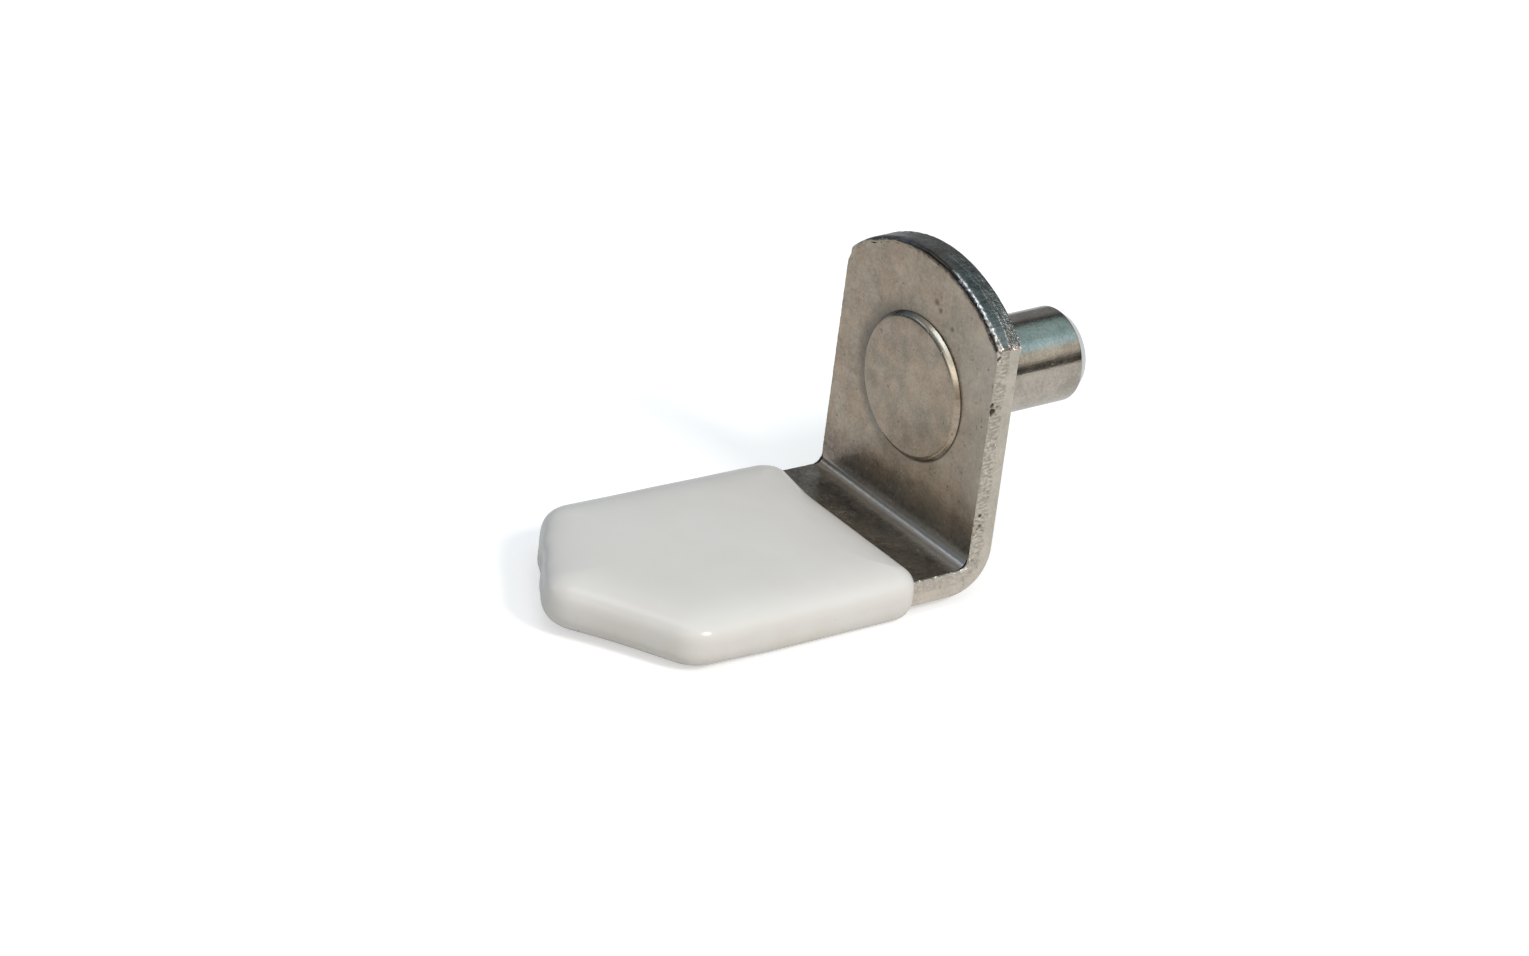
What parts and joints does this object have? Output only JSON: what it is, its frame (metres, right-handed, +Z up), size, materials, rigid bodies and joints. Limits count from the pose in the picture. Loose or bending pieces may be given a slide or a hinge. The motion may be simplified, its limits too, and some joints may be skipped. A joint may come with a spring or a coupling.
{
  "type": "shelf support pin",
  "caption": "L-shaped shelf support: a pin riveted to a folded steel bracket with a crowned upright, and a soft white sleeve over the pointed tongue.",
  "frame": {"origin": "on the pin's axis, at the back face of the upright, where the pin's shoulder seats", "axes": "+Z up, +Y along the pin towards its free end, the tongue points to -Y, +X across the strip"},
  "size_m": [0.014, 0.0315, 0.0172],
  "materials": {
    "bracket_nickel": "satin nickel plate",
    "pin_nickel": "bright nickel plate",
    "vinyl": "soft gloss white vinyl"
  },
  "bodies": {
    "root": {"bracket": "bracket_nickel", "pin": "pin_nickel", "cushion_sleeve": "vinyl"}
  },
  "joints": []
}
